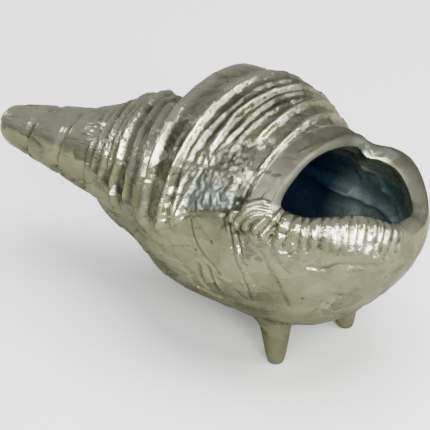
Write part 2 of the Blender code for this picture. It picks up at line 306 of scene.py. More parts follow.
# Spread of the line and of the burr beside it, and the burr's distance, in half widths
LINE_SPREAD = 1.05
BURR_SPREAD = 0.8
BURR_OFFSET = 2.1
# Depth of the line and height of its burr as shares of the depth, and how much the line darkens the metal
LINE_SHARE = 0.85
BURR_SHARE = 0.35
LINE_DARKENING = 0.5

# Dark holes in the skin: radius and depth in millimetres, angle, x
HOLES = (
    (1.1, 1.3, 61, 5.0),
    (0.3, 0.35, 77, 16.3),
    (0.25, 0.3, 76, 24.0),
    (0.3, 0.35, 106, 18.3),
    (0.35, 0.3, 83, 1.2),
    (0.3, 0.3, 90, -2.1),
)
# Where a hole's wall starts and ends, in radii
HOLE_WALL = (1.3, 0.5)

# Chiselled patch on the near shoulder: centre (angle, x) and half size, its edge in half sizes, the
# edge along the ledge, and the share of the cords that is cut away
PATCH_CENTRE = (58.0, -1.0)
PATCH_HALF = (9.5 * MM, 6.5 * MM)
PATCH_EDGE = (1.3, 0.7)
PATCH_OVER_LEDGE = (0.0, 0.6 * MM)
PATCH_LEVELLING = 0.85

# Gouge cuts in the patch: how many, half the area ahead and around, half width, half length, depth
# as a share of the half width, middle and spread of the lean in radians, and dirt
CUTS = 260
CUT_SEED = 7
CUT_AREA = (9.0 * MM, 11.0 * MM)
CUT_WIDTH = (0.38 * MM, 0.75 * MM)
CUT_LENGTH = (0.9 * MM, 2.4 * MM)
CUT_DEPTH = 0.5
CUT_LEAN = (0.1, 0.65)
CUT_DIRT = (-0.3, 0.9)

# Share under which a kind of mark isn't worked out
LEAST_SHARE = 0.02
# Hammer strokes on the ribbed skin: length, width, turn, seed, sharpness and height
STROKE_LENGTH = 1.3 * MM
STROKE_WIDTH = 0.8 * MM
STROKE_TURN = 0.4
STROKE_SEED = 1.0
STROKE_SHARPNESS = 3.2
STROKE_HEIGHT = 0.085 * MM
# Filed facets: size ahead and around, seed, height, and where they come in along the shell
BODY_FACETS = ((5.5 * MM, 4.0 * MM), 5.0, 0.26 * MM, (-40.0 * MM, -25.0 * MM))
SPIRE_FACETS = ((7.5 * MM, 4.5 * MM), 2.0, 0.3 * MM, (-30.0 * MM, -38.0 * MM))
# How far a facet's tilt lifts it, and the stretch that gives each cell a draw of its own
FACET_STEP = 0.1
CELL_STEP = 57.0
# Where the facets fade towards the lip's edge, as a share of the brow
EDGE_FADE = (0.75, 1.0)
# Lumpy noise: how its octaves weaken, and how much finer each is than the last
RUMPLE = (0.6, 2.1)
# Unevenness of the plain skin: size, height, and offset of its noise
WAVES = ((5.0 * MM, 0.1 * MM, 0.0), (2.0 * MM, 0.04 * MM, 0.1))
TIP_LENGTH = 3.0 * MM

# Darkening in the valleys between cords, from tarnish and painted shade, and in the tool marks, and the
# height of a stroke that clears it
VALLEY_TARNISH_AND_SHADE = 0.58
MARK_DIRT = 0.5
CLEARING_HEIGHT = 0.4 * MM
# How worked the patch and the barred lip count beside the hammered skin
PATCH_WORK = 0.5
BAR_WORK = 0.8
# Where the matt brow starts past the last cord, and its near and far ends
BROW_START = (1.0 * MM, 2.2 * MM)
BROW_NEAR = (math.radians(66), math.radians(52))
BROW_FAR = (math.radians(-150), math.radians(-120))
# Where the patch is patinated, from the top down
PATINA_START = (math.radians(40), math.radians(62))

# Lumps on the far lip: where they start and end round the mouth, size and height
LUMPS_START = (math.radians(262), math.radians(285))
LUMPS_END = (math.radians(356), math.radians(340))
LUMP_SIZE = 2.4 * MM
LUMP_HEIGHT = 0.3 * MM
# Where the lip turns matt past the bead and before it, and where the lumps are bared of it
MATTE_PAST = (math.radians(168), math.radians(190))
MATTE_BEFORE = (math.radians(70), math.radians(56))
BARED_SPAN = (0.2, 0.5)
BARED_SHARE = 0.85
# Painted shade round the near corner of the lip: how dark, and where across the lip and round the mouth
CORNER_SHADE = 0.7
CORNER_ACROSS = (0.3, 0.9)
CORNER_ROUND = (math.radians(84), math.radians(62))

# Folds on the far wall inside the mouth: height and half width in millimetres, then points
FOLDS = (
    (
        (0.6, 0.4),
        ((16.0, 9.5, 5.8), (16.6, 10.9, 4.3), (18.8, 14.0, -1.2), (23.3, 11.8, -3.3), (25.2, 9.8, -3.8)),
    ),
    (
        (1.5, 1.0),
        ((5.0, 17.8, -5.6), (10.4, 17.1, -6.6), (14.9, 15.7, -6.0), (19.3, 14.0, -5.7), (23.4, 11.0, -5.7)),
    ),
    ((1.3, 1.8), ((4.0, 17.5, -6.5), (8.0, 17.4, -6.8))),
    # A low broad fold on the far floor, whose paler film paints light there
    ((0.2, 2.6), ((5.5, 15.8, -11.2), (9.5, 15.9, -10.3), (15.4, 14.7, -8.8), (20.0, 12.2, -6.8))),
)
# Lumps of the wall inside: size and height. They come in over this share of the throat
HOLLOW_LUMPS = ((6.0 * MM, 0.5 * MM), (1.8 * MM, 0.14 * MM))
HOLLOW_START = (0.0, 0.25)
# Paler film on the folds, wear and painted light: its usual strength, how patchy it is and the patches' size
FOLD_WEAR_AND_LIGHT = 0.65
WEAR_PATCHES = 0.6
WEAR_SIZE = 1.6 * MM
# Where the film inside comes in, from the lip's inner edge, and where painted shade turns it black towards
# the back of the cavity, along x
FILM_START = (0.5 * MM, 11.0 * MM)
DEEP_SHADE_FROM = (13.0 * MM, 4.0 * MM)

# Finish of the metal. Noise to the metre, with detail and roughness: clouds of tarnish, and grain
CLOUDS = (120.0, 4.0, 0.6)
GRAIN = (1500.0, 4.0, 0.65)
# Polished flats and struck dents, to the metre, with the stretch of the flats and where they go matt
FLATS = 230.0
DENTS = 800.0
FLAT_STRETCH = (0.6, 1.0, 1.3)
FLAT_FADE = (0.0, 0.6, 1.0, 0.0)
# Dirt from the clouds, the flats' tone, the matt skin and the grain of worked metal
CLOUD_SPAN = (0.42, 0.68)
CLOUD_DIRT = 0.44
FLAT_DIRT = 0.4
MATTE_DIRT = 0.9
SPECKLE_SPAN = (0.52, 0.72)
SPECKLE_DIRT = 0.12
# Patina and wear that the clouds give: from and to on the noise, from and to in strength
PATINA_CLOUDS = (0.35, 0.65, 0.0, 0.5)
WEAR_CLOUDS = (0.45, 0.75, 0.0, 0.3)
# Metallic outside and inside, roughness when clean and when dirty, and what changes it
METALLIC = (0.95, 0.25)
ROUGHNESS = (0.17, 0.42)
GRAIN_ROUGHNESS = (0.3, 0.8, -0.05, 0.08)
MATTE_ROUGHNESS = 0.18
HOLLOW_ROUGHNESS = 0.03
# Depth of the dents and flats as a share of their tilt, and height of the grain
DENT_DEPTH = 0.35
FLAT_DEPTH = 0.26
GRAIN_HEIGHT = 0.03 * MM

# Windows of the studio: name, turn and tilt in degrees, distance, size in metres, power in watts
WINDOWS = (
    ("left window", 240, 46, 0.6, (0.14, 0.09), 0.4),
    ("right window", 322, 30, 0.65, (0.19, 0.26), 3.4),
    ("near window", 293, 42, 0.65, (0.16, 0.14), 1.0),
    ("high window", 6, 45, 0.65, (0.24, 0.13), 1.7),
    ("low window", 355, 10, 0.35, (0.30, 0.15), 0.35),
    ("back window", 15, 24, 0.7, (0.30, 0.20), 1.1),
    ("slit", 172, 10, 0.6, (0.13, 0.05), 0.11),
)
# Small reflectors close to the lip, seen in the metal only
REFLECTORS = (
    ("near reflector", 283, 33, 0.115, (0.075, 0.030), 0.11),
    ("middle reflector", 302, 25, 0.115, (0.05, 0.030), 0.07),
    ("front reflector", 335, 20, 0.110, (0.09, 0.030), 0.12),
)
# Light from above that the metal doesn't mirror
TOP_FILL = ("top fill", 60, 82, 0.9, (0.7, 0.7), 16.0)

# Walls of the studio: colour, strength in front and behind, and a dark band low on the left
WALL_COLOUR = (0.95, 0.98, 1.0, 1.0)
WALL_BACK = (0.34, 0.94, 0.0)
WALL_STRENGTH = (-0.3, 0.9, 0.56, 0.46)
BAND_SIDE = (-0.75, -0.66, 0.0)
BAND_WIDTH = (0.6, 0.9)
BAND_HEIGHT = (0.12, 0.26, 0.42, 0.0)
# Floor in the metal: a painted shadow under the shell, in metres from the middle, and painted light to the
# right
FLOOR_UNDER = (0.02, 0.12, 0.65, 1.0)
FLOOR_SIDE = (0.94, -0.34, 0.0)
FLOOR_ACROSS = (-0.25, 0.15, 0.62, 1.5)
FLOOR_ROUGHNESS = 0.7
FLOOR_SHINE = 0.2

# Camera: width of the sensor in millimetres, of the view at the shell in metres, and the shift
SENSOR = 36.0
VIEW_WIDTH = 0.086
VIEW_SHIFT = (-0.1256, -0.0547)
NEAR_CLIP = 0.01

COLUMNS = 260
CROWDED_ANGLE = math.radians(80)
CROWDING = 0.45
# Rings on the outside: (from station, to station, rings), in millimetres
OUTSIDE_RINGS = ((-67.0, -64.0, 10), (-64.0, -38.5, 40), (-38.5, -19.0, 76), (-19.0, 4.0, 108))
BROW_RINGS = 64
LIP_RINGS = 16
THROAT_RINGS = 34
CAVITY_RINGS = 12
MERGE_WITHIN = 0.000001

# Feet: the sole's rounded edge as (share of its radius, height in millimetres), the rings of the peg
# and how it swells, the rings of the flare, the flare's share ahead and behind and how far its
# corner is drawn out, how far it sinks in, and the rings that close the foot inside the wall
FOOT_SIDES = 48
SOLE_EDGE = ((0.5, 0.0), (0.86, 0.0), (0.96, 0.06), (1.02, 0.25))
PEG_RINGS = 12
PEG_SWELL = 0.8
FLARE_RINGS = 14
FLARE_AHEAD = 0.55
FLARE_BEHIND = 1.45
FLARE_CORNER = 0.1
FLARE_SINK = 0.08 * MM
CLOSING_SHARES = (0.9, 0.5)
CLOSING_HEIGHT = 1.4 * MM
UNDER_FLOOR = -0.01

# Zones of the wall from the apex to the closed end of the cavity, and the masks of the mesh
OUTSIDE, BROW, LIP, THROAT, CAVITY = range(5)
MASKS = ("tarnish_and_shade", "worked", "inside", "deep_shade", "patina", "matte")


def smooth_step(start, end, value):
    """0 before start, 1 past end, with an even ramp between; start may be the larger."""
    share = np.clip((value - start) / (end - start), 0.0, 1.0)
    return share * share * (3 - 2 * share)


def bell(value, width):
    """1 at 0, falling away on both sides within the width."""
    return np.exp(-((value / width) ** 2))


def turned(angle):
    """The angle brought between minus and plus half a turn."""
    return (angle + math.pi) % math.tau - math.pi


def through(positions, values, at):
    """Smooth curve through values at rising positions, by Catmull-Rom slopes."""
    positions = np.asarray(positions, float)
    values = np.asarray(values, float)
    at = np.clip(at, positions[0], positions[-1])
    index = np.clip(np.searchsorted(positions, at, side="right") - 1, 0, len(positions) - 2)
    before = np.maximum(index - 1, 0)
    after = np.minimum(index + 2, len(positions) - 1)
    tail = (1,) * (values.ndim - 1)

    def spread(array):
        return array.reshape(array.shape + tail)

    width = positions[index + 1] - positions[index]
    slope0 = (values[index + 1] - values[before]) / spread(positions[index + 1] - positions[before])
    slope1 = (values[after] - values[index]) / spread(positions[after] - positions[index])
    share = spread((at - positions[index]) / width)
    rest = 1 - share
    return (
        values[index] * rest * rest * (1 + 2 * share)
        + values[index + 1] * share * share * (3 - 2 * share)
        + spread(width) * share * rest * (slope0 * rest - slope1 * share)
    )


def along_knots(knots, at):
    """Smooth curve through (position, value) knots."""
    return through([place for place, _ in knots], [value for _, value in knots], at)


def unit(vectors):
    """The vectors brought to length 1."""
    return vectors / np.maximum(np.linalg.norm(vectors, axis=-1, keepdims=True), 1e-12)


def slerp(start, end, share):
    """Even turn from one unit vector to another."""
    share = np.asarray(share)[..., None]
    angle = np.arccos(np.clip((start * end).sum(-1, keepdims=True), -1.0, 1.0))
    angle = np.maximum(angle, 1e-6)
    return (np.sin((1 - share) * angle) * start + np.sin(share * angle) * end) / np.sin(angle)


def axis_height(x):
    """Height of the section's centre over the shell's axis."""
    front = smooth_step(*FRONT_DROP_SPAN, x) - smooth_step(*FRONT_RISE_SPAN, x)
    spire = smooth_step(*SPIRE_DROP_SPAN, x)
    back = smooth_step(*BACK_DROP_SPAN, x)
    return -(CENTRE_DROP + FRONT_DROP * front + SPIRE_DROP * spire + BACK_DROP * back)


def fallen_in(x, angle):
    """Share of the radius left by the hollows."""
    share = 1.0
    for at, turn, depth, behind, ahead, spread in HOLLOWS:
        along = bell(x / MM - at, np.where(x / MM < at, behind, ahead))
        across = bell(turned(angle - math.radians(turn)), math.radians(spread))
        share = share * (1 - depth * along * across)
    return share


def ring_lean(station, angle):
    """How far ahead of its station a ring lies at this angle."""
    share = (1 + np.cos(angle - LEAN_ANGLE)) / 2
    return RING_LEAN * smooth_step(*LEAN_START, station) * share**2


def on_section(x, radius, angle):
    """Point at this radius and angle on the section at x, angle 0 up and rising to -Y."""
    return np.stack([x, -radius * np.sin(angle), radius * np.cos(angle) + axis_height(x)], -1)


def front_radius(x, inset):
    """Radius of the front half at x, or of the cavity at this inset."""
    share = np.clip(x / (FRONT_LENGTH - inset), 0.0, 1.0)
    return (BODY_RADIUS - inset) * (1 - share**FULLNESS) ** (1 / FULLNESS)


def skin_radius(x, angle):
    """Radius of the smooth outside at x."""
    behind = along_knots(SPIRE_PROFILE, x / MM) * MM
    return np.where(x < 0, behind, front_radius(x, 0.0)) * fallen_in(x, angle)


def skin_point(x, angle):
    """Point of the smooth outside at x and this angle."""
    return on_section(x, skin_radius(x, angle), angle)


def angle_of(points):
    """Angle of each point round the shell's axis."""
    return np.arctan2(-points[..., 1], points[..., 2] - axis_height(points[..., 0]))


def direction_of(points):
    """Direction of a point of the front half, once the half is squeezed to a unit ball."""
    x = points[..., 0]
    height = points[..., 2] - axis_height(x)
    across = BODY_RADIUS * fallen_in(x, np.arctan2(-points[..., 1], height))
    return unit(np.stack([x / FRONT_LENGTH, points[..., 1] / across, height / across], -1))


def front_point(direction, inset):
    """The front skin, or the cavity wall at this inset, in a direction of the unit ball."""
    ahead = np.maximum(direction[..., 0], 0.0)
    across = np.hypot(direction[..., 1], direction[..., 2])
    reach = (ahead**FULLNESS + across**FULLNESS) ** (-1 / FULLNESS)
    x = (FRONT_LENGTH - inset) * reach * ahead
    angle = np.arctan2(-direction[..., 1], direction[..., 2])
    radius = (BODY_RADIUS - inset) * reach * across * fallen_in(x, angle)
    return on_section(x, radius, angle)


def round_the_mouth(knots, angle):
    """Closed smooth curve through (degrees, value) knots at a column angle."""
    laps = [(at + 360 * lap, value) for lap in (-1, 0, 1) for at, value in knots]
    return along_knots(laps, np.degrees(angle) % 360)


def mouth_edge(angle):
    """Outer edge of the lip at a column angle."""
    return round_the_mouth(MOUTH_EDGE, angle) * MM


def fan_start(angle):
    """Direction of the last outside ring at a column angle."""
    x = LAST_STATION + ring_lean(LAST_STATION, angle)
    return direction_of(on_section(x, front_radius(x, 0.0) * fallen_in(x, angle), angle))


def outside_point(station, angle, sizes):
    """From the apex to the last outside ring, by station."""
    return skin_point(station + ring_lean(station, angle), angle)


def brow_point(share, angle, sizes):
    """From the last outside ring, share 0, to the outer edge of the lip, share 1."""
    direction = slerp(fan_start(angle), direction_of(mouth_edge(angle)), share)
    point = front_point(direction, 0.0)
    outward = point - np.stack([point[..., 0], 0 * share, axis_height(point[..., 0])], -1)
    crossed = np.clip((share - 1 + BEAD_SHARE) / BEAD_SHARE, 0.0, 1.0)
    along = smooth_step(*BEAD_START, angle % math.tau) * smooth_step(*BEAD_END, angle % math.tau)
    bead = sizes.bead_height * along * np.sin(BEAD_TURN * crossed)
    return point + unit(outward) * bead[..., None]


def run_up(angle, sizes):
    """Direction in which the outside reaches the lip's edge."""
    share = np.ones_like(angle)
    return unit(brow_point(share, angle, sizes) - brow_point(LIP_RUN_UP * share, angle, sizes))


def lip_point(share, angle, sizes):
    """Round the lip, from its outer edge to its inner edge."""
    edge = brow_point(np.ones_like(share), angle, sizes)
    inward = unit(MOUTH_CENTRE - edge)
    outward = unit(sum(run_up(angle + offset, sizes) for offset in LIP_SMOOTHING))
    half = sizes.lip_thickness * round_the_mouth(LIP_WIDTHS, angle) / 2
    across = half * (1 - np.cos(math.pi * share))
    bulge = half * LIP_ROUNDNESS * np.maximum(np.sin(math.pi * share), 0.0) ** LIP_SQUARENESS
    return edge + inward * across[..., None] + outward * bulge[..., None]


def throat_point(share, angle, sizes):
    """From the inner edge of the lip, share 0, back to the section of the last outside ring."""
    inner_edge = lip_point(np.ones_like(share), angle, sizes)
    start = direction_of(inner_edge)
    wall = front_point(slerp(start, fan_start(angle), share), WALL)
    offset = inner_edge - front_point(start, WALL)
    return wall + offset * (1 - smooth_step(0.0, THROAT_RUN_IN, share))[..., None]


def cavity_point(share, angle, sizes):
    """From the end of the throat back to the closed end of the cavity."""
    start = throat_point(np.ones_like(share), angle, sizes)
    turn = share * math.pi / 2
    x = start[..., 0] + (CAVITY_END_X - start[..., 0]) * np.sin(turn)
    height = (start[..., 2] - axis_height(start[..., 0])) * np.cos(turn)
    return np.stack([x, start[..., 1] * np.cos(turn), height + axis_height(x)], -1)


PLACES = (outside_point, brow_point, lip_point, throat_point, cavity_point)


def wall_stations():
    """Zone and value of every ring, from the apex to the end of the cavity."""
    zones, values = [OUTSIDE], [OUTSIDE_RINGS[0][0] * MM]
    for start, end, rings in OUTSIDE_RINGS:
        for ring in range(1, rings + 1):
            zones.append(OUTSIDE)
            values.append((start + (end - start) * ring / rings) * MM)
    inward = ((BROW, BROW_RINGS), (LIP, LIP_RINGS), (THROAT, THROAT_RINGS), (CAVITY, CAVITY_RINGS))
    for zone, rings in inward:
        for ring in range(1, rings + 1):
            zones.append(zone)
            values.append(ring / rings)
    return np.array(zones), np.array(values)


def column_angles():
    """Angle of each column, closer together on the near shoulder."""
    even = np.arange(COLUMNS) * math.tau / COLUMNS
    return CROWDED_ANGLE + even - CROWDING * np.sin(even)


def eased(grid, zones, angles):
    """The grid with the crease between the near brow and the lip rounded off."""
    near = smooth_step(*BEAD_START, angles) * smooth_step(*BEAD_END, angles)
    edge = np.flatnonzero(zones == LIP)[0]
    rows = np.arange(edge - EASED_RINGS[0], edge + EASED_RINGS[1])
    share = EASING * np.sin(math.pi * np.linspace(0, 1, len(rows)))[:, None, None] * near[None, :, None]
    grid = grid.copy()
    for _ in range(EASING_PASSES):
        between = (grid[rows - 1] + grid[rows + 1]) / 2
        grid[rows] += share * (between - grid[rows])
    return grid


def base_grid(sizes):
    """Smooth wall as a grid of points, ring by column, with each ring's zone and value."""
    zones, values = wall_stations()
    angles = column_angles()
    grid = np.zeros((len(zones), COLUMNS, 3))
    for zone, place in enumerate(PLACES):
        rows = zones == zone
        value, angle = np.meshgrid(values[rows], angles, indexing="ij")
        grid[rows] = place(value, angle, sizes)
    return eased(grid, zones, angles % math.tau), zones, values


def grid_normals(grid):
    """Outward unit normals of the grid."""
    along = np.gradient(grid, axis=0)
    round_about = np.roll(grid, -1, axis=1) - np.roll(grid, 1, axis=1)
    normals = unit(np.cross(round_about, along))
    for end, inner in ((0, 1), (-1, -2)):
        normals[end] = unit(normals[inner].mean(axis=0))
    return normals


def nearest_on_line(points, line):
    """Distance from each point to a polyline, and how far along the line that is."""
    best = np.full(len(points), np.inf)
    along = np.zeros(len(points))
    done = 0.0
    for start, end in zip(line, line[1:]):
        span = end - start
        length = np.linalg.norm(span)
        share = np.clip((points - start) @ span / length**2, 0.0, 1.0)
        away = np.linalg.norm(points - start - share[:, None] * span, axis=1)
        closer = away < best
        best[closer] = away[closer]
        along[closer] = done + share[closer] * length
        done += length
    return best, along


def on_skin(points, steps=5):
    """Smooth line on the outside through (angle in degrees, x in millimetres) points."""
    at = np.linspace(0, len(points) - 1, (len(points) - 1) * steps + 1)
    chart = through(range(len(points)), points, at)
    return skin_point(chart[:, 1] * MM, np.radians(chart[:, 0]))


def facets(chart, size, seed):
    """Flat facets at random tilts on a chart of the skin, about -1 to 1, with crisp borders."""
    result = np.empty(len(chart))
    for i, (u, v) in enumerate(chart / size):
        where = Vector((u, v, seed))
        near = noise.voronoi(where)[1][0]
        tilt = Vector(noise.cell_vector(near * CELL_STEP)) * 2 - Vector((1, 1, 1))
        result[i] = (where - near).dot(tilt) + FACET_STEP * tilt.z
    return result


def strokes(chart):
    """Sharp-crested hammer strokes on a chart of the skin, about -1 to 1."""
    c, s = math.cos(STROKE_TURN), math.sin(STROKE_TURN)
    result = np.empty(len(chart))
    for i, (u, v) in enumerate(chart):
        where = Vector(((u * c + v * s) / STROKE_LENGTH, (v * c - u * s) / STROKE_WIDTH, STROKE_SEED))
        result[i] = 1 - STROKE_SHARPNESS * abs(noise.noise(where))
    return result


def chisel_cuts(chart, centre):
    """Height and dirt of overlapping gouge cuts on a chart of the skin round this centre."""
    random = np.random.default_rng(CUT_SEED)
    height = np.zeros(len(chart))
    darkening = np.zeros(len(chart))
    for _ in range(CUTS):
        middle = centre + random.uniform(-1, 1, 2) * CUT_AREA
        lean = random.normal(*CUT_LEAN)
        half_width, half_length = random.uniform(*CUT_WIDTH), random.uniform(*CUT_LENGTH)
        shade = random.uniform(*CUT_DIRT)
        ahead, around = (chart - middle).T
        across = (ahead * math.cos(lean) + around * math.sin(lean)) / half_width
        along = (around * math.cos(lean) - ahead * math.sin(lean)) / half_length
        cut = -CUT_DEPTH * half_width * (1 - across**2 - along**2)
        deeper = cut < height
        height[deeper] = cut[deeper]
        darkening[deeper] = shade
    return height, darkening


def rumple(points, size, octaves=1):
    """Smooth noise of about -1 to 1 at this size."""
    result = np.empty(len(points))
    for i, point in enumerate(points / size):
        result[i] = noise.fractal(Vector(point), *RUMPLE, octaves)
    return result


def waves(points):
    """Slow unevenness of the hand-finished skin."""
    return sum(rumple(points + offset, size) * height for size, height, offset in WAVES)


def fade_between(line, degrees):
    """1 between the first and last angle of a line, 0 past its ends."""
    low, high = line[0][0], line[-1][0]
    return smooth_step(low - CORD_FADE, low, degrees) * smooth_step(high + CORD_FADE, high, degrees)


def ahead_of(line, station, degrees):
    """How far ahead of a line of (angle, station) each point lies, in millimetres."""
    return station / MM - along_knots(line, degrees)


def cord_relief(station, angle, sizes):
    """Height of the cords and whorl grooves, and how far each point is off a smooth cord."""
    degrees = np.degrees(turned(angle))
    height = np.zeros_like(station)
    valley = np.ones_like(station)
    for rise, behind, ahead, smooth, line in CORDS:
        off = ahead_of(line, station, degrees)
        shape = np.where(off < 0, bell(off, behind), bell(off, ahead)) * fade_between(line, degrees)
        height += rise * shape * (1 - FAR_CORD_LOSS * smooth_step(*FAR_CORD_SPAN, degrees))
        valley -= SMOOTH_REACH * smooth * shape
    for depth, width, line in WHORL_GROOVES:
        off = ahead_of(line, station, degrees)
        over = smooth_step(*GROOVE_OPENING, degrees)
        shape = bell(off, width * (1 + GROOVE_WIDER * over))
        height -= depth * (1 + GROOVE_DEEPER * over) * shape * fade_between(line, degrees)
    return height * MM * sizes.cord_strength, np.clip(valley, 0, 1)


def suture_relief(x, angle):
    """Depth of the groove that winds round the smooth spire."""
    wound = x + WHORL_LENGTH * turned(angle) / math.tau
    first, last = SPIRE_SUTURES
    far, near = SUTURE_FADE
    fade = smooth_step(first - far, first - near, x) * smooth_step(last + far, last + near, x)
    off = (wound - first + WHORL_LENGTH / 2) % WHORL_LENGTH - WHORL_LENGTH / 2
    return -SUTURE_DEPTH * fade * bell(off, SUTURE_WIDTH)


def over_ledge(x, angle):
    """How far each point lies over the ledge's line, along the skin."""
    return BODY_RADIUS * (np.radians(along_knots(LEDGE, x / MM)) - angle)


def ledge_relief(x, above):
    """Height of the ledge, with the groove over it."""
    here = smooth_step(*LEDGE_START, x) * smooth_step(*LEDGE_END, x)
    step = LEDGE_HEIGHT * smooth_step(*LEDGE_RISE, above) * smooth_step(*LEDGE_FALL, above)
    return here * (step - LEDGE_GROOVE_DEPTH * bell(above + LEDGE_GROOVE_WIDTH, LEDGE_GROOVE_WIDTH))


def patch_share(x, angle, above):
    """1 in the chiselled patch, down to the ledge."""
    around = BODY_RADIUS * turned(angle - math.radians(PATCH_CENTRE[0])) / PATCH_HALF[0]
    ahead = (x - PATCH_CENTRE[1] * MM) / PATCH_HALF[1]
    inside = smooth_step(*PATCH_EDGE, np.sqrt(around**2 + ahead**2))
    return inside * smooth_step(*PATCH_OVER_LEDGE, above)


def lip_bars(points):
    """Bars across the bead, and the zone that they fill."""
    columns = np.linspace(*BAR_EDGE)
    edge = front_point(direction_of(mouth_edge(columns)), 0.0)
    away, along = nearest_on_line(points, edge)
    length = np.concatenate([[0], np.cumsum(np.linalg.norm(np.diff(edge, axis=0), axis=1))])
    first, last = np.interp(BAR_COLUMNS, columns, length)
    phase = (along - first) / BAR_PITCH
    wander, wander_rate = BAR_WANDER
    sharpness, level = BAR_CREST
    usual, spread, rate, start = BAR_SIZES
    crest = np.abs(np.cos(math.pi * (phase + wander * np.sin(wander_rate * phase)))) ** sharpness
    bar = (crest - level) * (usual + spread * np.sin(rate * phase + start))
    ends = smooth_step(first - BAR_PITCH / 2, first, along) * smooth_step(last + BAR_PITCH, last, along)
    zone = ends * smooth_step(*BAR_LENGTH, away)
    return bar * zone, zone


def gap_shade(bars):
    """Painted shade in the gaps between the bars across the bead."""
    return GAP_SHADE * np.clip(-GAP_STEEPNESS * bars - GAP_START, 0, 1)


def fan_relief(points):
    """Height of the bars that fan out past the corner of the mouth, and the painted shade between them."""
    fan = np.zeros(len(points))
    for line in FAN_BARS:
        off, _ = nearest_on_line(points, on_skin(line))
        fan = np.maximum(fan, 1 - (off / FAN_WIDTH) ** 2)
    away, _ = nearest_on_line(points, on_skin(FAN_MIDDLE))
    here = smooth_step(*FAN_REACH, away)
    return FAN_HEIGHT * (fan - FAN_SINK * here), GAP_SHADE * np.clip(here - FAN_STEEPNESS * fan, 0, 1)


def cut_relief(points):
    """Height of the engraved lines and the holes, and how much they darken the metal."""
    height = np.zeros(len(points))
    darkening = np.zeros(len(points))
    for depth, width, line in ENGRAVED:
        off, _ = nearest_on_line(points, on_skin(line))
        cut = bell(off, LINE_SPREAD * width * MM)
        burr = bell(off - BURR_OFFSET * width * MM, BURR_SPREAD * width * MM)
        height += depth * MM * (BURR_SHARE * burr - LINE_SHARE * cut)
        darkening += LINE_DARKENING * cut
    start, end = HOLE_WALL
    for radius, depth, at, ahead in HOLES:
        centre = skin_point(np.array(ahead * MM), np.array(math.radians(at)))
        off = np.linalg.norm(points - centre, axis=1)
        cut = smooth_step(radius * start * MM, radius * end * MM, off)
        height -= depth * MM * cut
        darkening += cut
    return height, darkening


def shared(share, work, least=LEAST_SHARE):
    """What work gives for the points whose share is over the least, times their share, else 0."""
    result = np.zeros(len(share))
    counts = share > least
    result[counts] = work(counts) * share[counts]
    return result


def faceted(chart, kind):
    """Height of the filed facets of this kind on points of a chart."""
    size, seed, height, span = kind
    return facets(chart, size, seed) * height * smooth_step(*span, chart[:, 0])


def skin_relief(skin, station, column, share, sizes):
    """Relief and masks of the outside; share is how far over the brow each point lies, 0 behind it."""
    x = skin[..., 0]
    turn = angle_of(skin)
    above = over_ledge(x, turn)
    cords, valley = cord_relief(station, column, sizes)
    patch = patch_share(x, turn, above)
    ribbed = smooth_step(*RIBBED_START, station) * smooth_step(*RIBBED_END, station)
    ribbed *= smooth_step(*RIBBED_FAR, turn) * smooth_step(*RIBBED_NEAR, above)
    relief = cords * (1 - PATCH_LEVELLING * patch) - CORD_SINK * ribbed
    relief += suture_relief(x, turn) + ledge_relief(x, above)

    points = skin.reshape(-1, 3)
    bars, barred = lip_bars(points)
    fan, fan_shade = fan_relief(points)
    cuts, cut_darkening = cut_relief(points)
    drawn = BAR_HEIGHT * bars + fan + cuts
    # Darkening: painted shade in the gaps between bars and between the fan's bars, and darker engraved lines
    # and holes
    darkening = gap_shade(bars) + fan_shade + cut_darkening

    rough = np.clip(ribbed * valley * (1 - patch), 0, 1).ravel()
    chart = np.stack([station, BODY_RADIUS * turned(column)], -1).reshape(-1, 2)
    spire = np.stack([x, skin_radius(x, turn) * turned(turn)], -1).reshape(-1, 2)
    hammered = shared(rough, lambda at: strokes(chart[at])) * STROKE_HEIGHT
    filed = shared(1 - rough, lambda at: faceted(chart[at], BODY_FACETS))
    slim = (1 - rough) * (spire[:, 0] < SPIRE_FACETS[-1][0])
    filed += shared(slim, lambda at: faceted(spire[at], SPIRE_FACETS), 0.0)
    filed *= 1 - smooth_step(*EDGE_FADE, share).ravel()
    strength = patch.ravel()
    chiselled = strength > LEAST_SHARE
    middle = np.array((PATCH_CENTRE[1] * MM, BODY_RADIUS * math.radians(PATCH_CENTRE[0])))
    gouged, shade = np.zeros((2, len(points)))
    gouged[chiselled], shade[chiselled] = chisel_cuts(chart[chiselled], middle)
    marks = hammered + gouged * strength + filed
    tip = smooth_step(APEX_X, APEX_X + TIP_LENGTH, points[:, 0])
    relief += (drawn + marks * sizes.tool_marks + waves(points) * tip).reshape(x.shape)

    # Each chisel cut has a tone of its own; the metal is darker in the dips of the hammer strokes
    darkening += MARK_DIRT * (shade * strength - hammered / CLEARING_HEIGHT)
    brow = smooth_step(*BROW_START, station - LAST_STATION)
    over = turned(column)
    return relief, {
        # Tarnish and painted shade in the valleys between cords
        "tarnish_and_shade": np.clip(darkening.reshape(x.shape) + VALLEY_TARNISH_AND_SHADE * valley * ribbed, 0, 1),
        "worked": np.clip(rough + PATCH_WORK * strength + BAR_WORK * barred, 0, 1).reshape(x.shape),
        "matte": brow * smooth_step(*BROW_NEAR, over) * smooth_step(*BROW_FAR, over),
        "patina": patch**2 * smooth_step(*PATINA_START, turn),
    }


